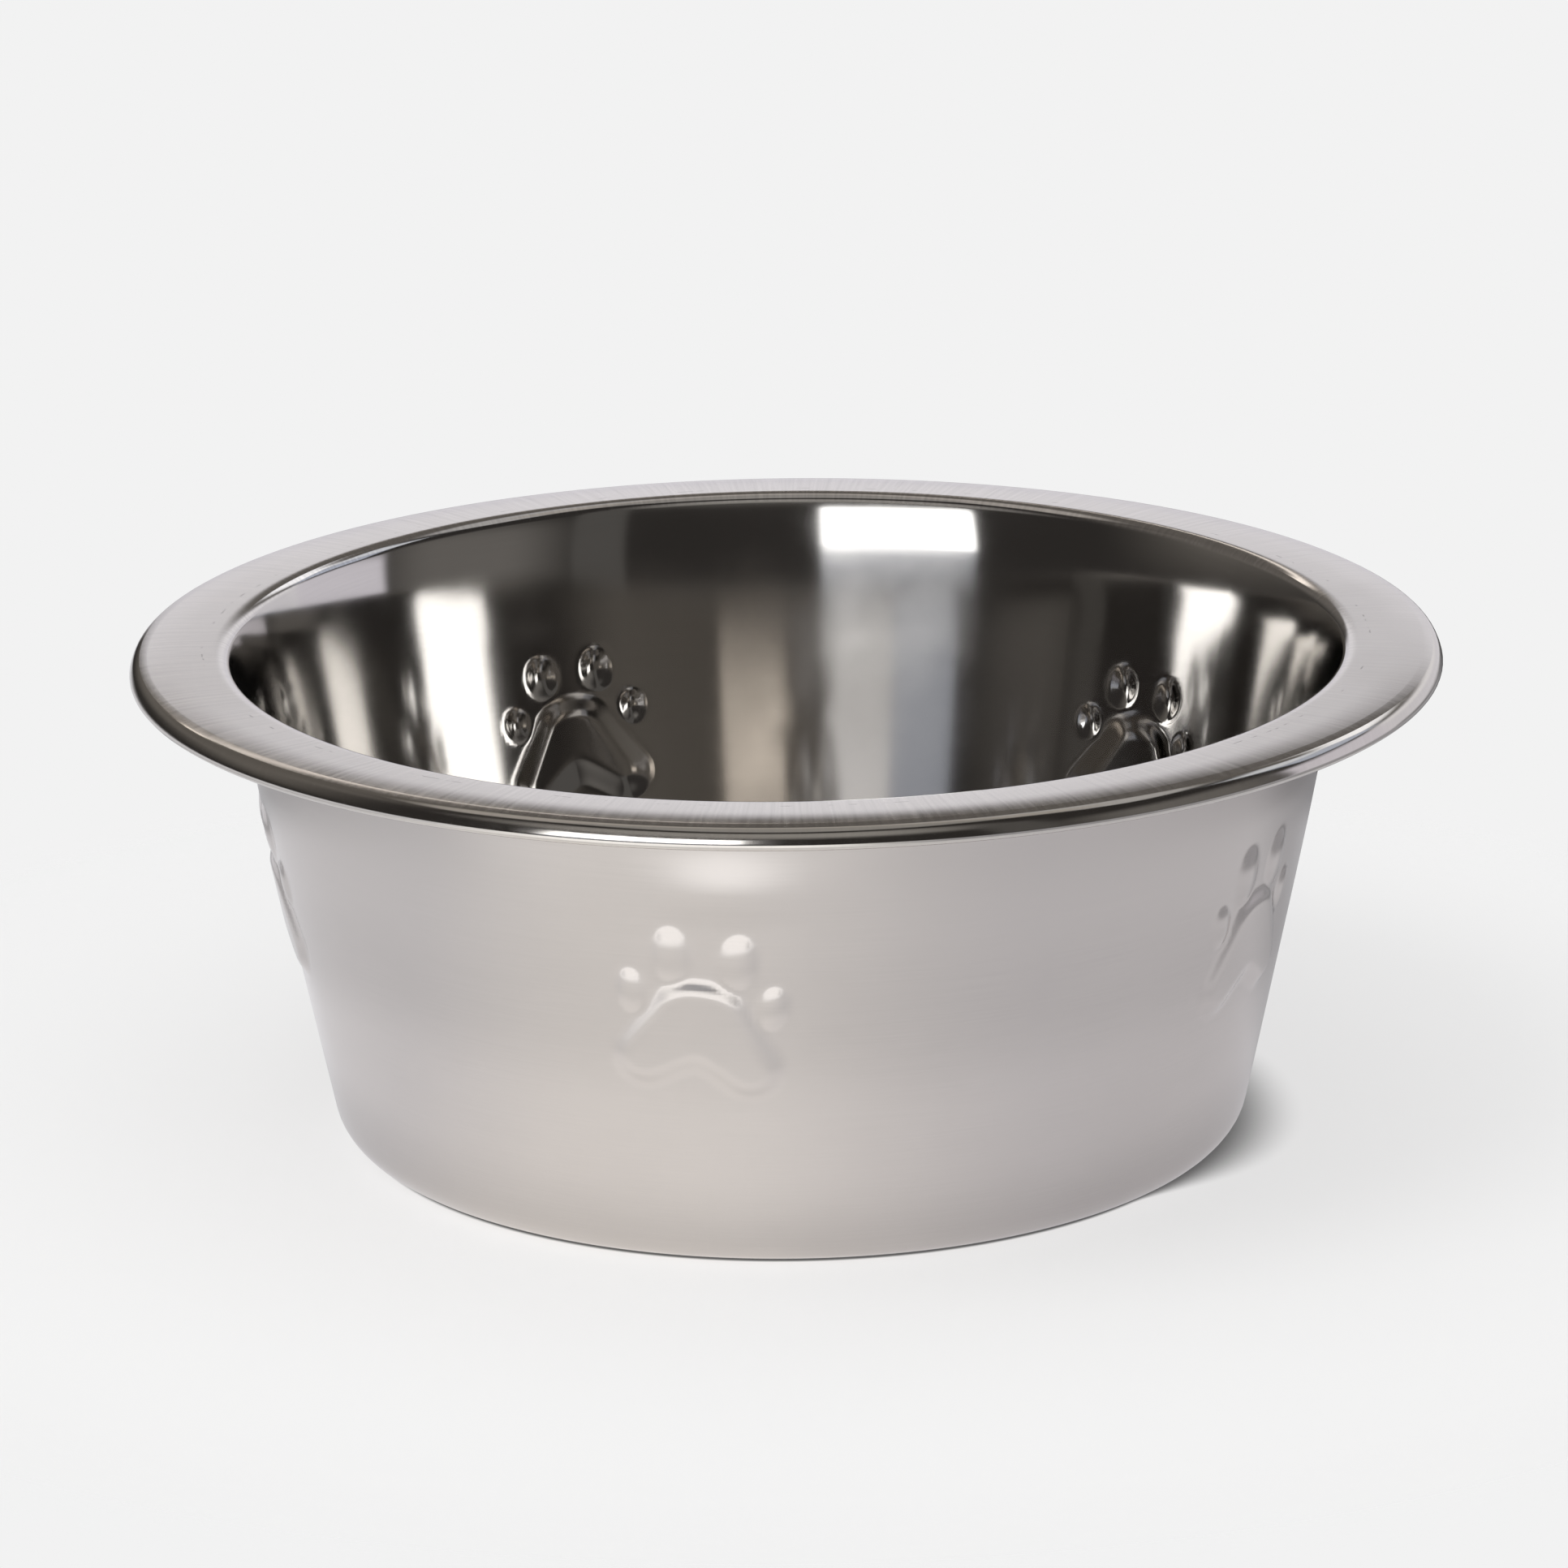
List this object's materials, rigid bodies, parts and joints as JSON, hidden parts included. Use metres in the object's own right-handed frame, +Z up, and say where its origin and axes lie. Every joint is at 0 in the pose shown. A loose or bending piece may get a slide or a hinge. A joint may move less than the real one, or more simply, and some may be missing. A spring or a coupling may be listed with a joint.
{
  "type": "pet bowl",
  "caption": "Round steel pet bowl with a tapered wall, raised paw prints, a wide sloping flange with a rolled edge and a flat base; it holds food or water.",
  "frame": {"origin": "on the bowl's axis, at the height of the surface that it stands on", "axes": "+Z up along the bowl's axis, -Y out through the middle of one paw print, +X to the right of it"},
  "size_m": [0.2, 0.2, 0.077],
  "materials": {
    "steel": "stainless sheet: satin outside, brushed across the flange, mirror polished inside and on the rolled edge"
  },
  "bodies": {
    "root": {"bowl": "steel"}
  },
  "joints": []
}
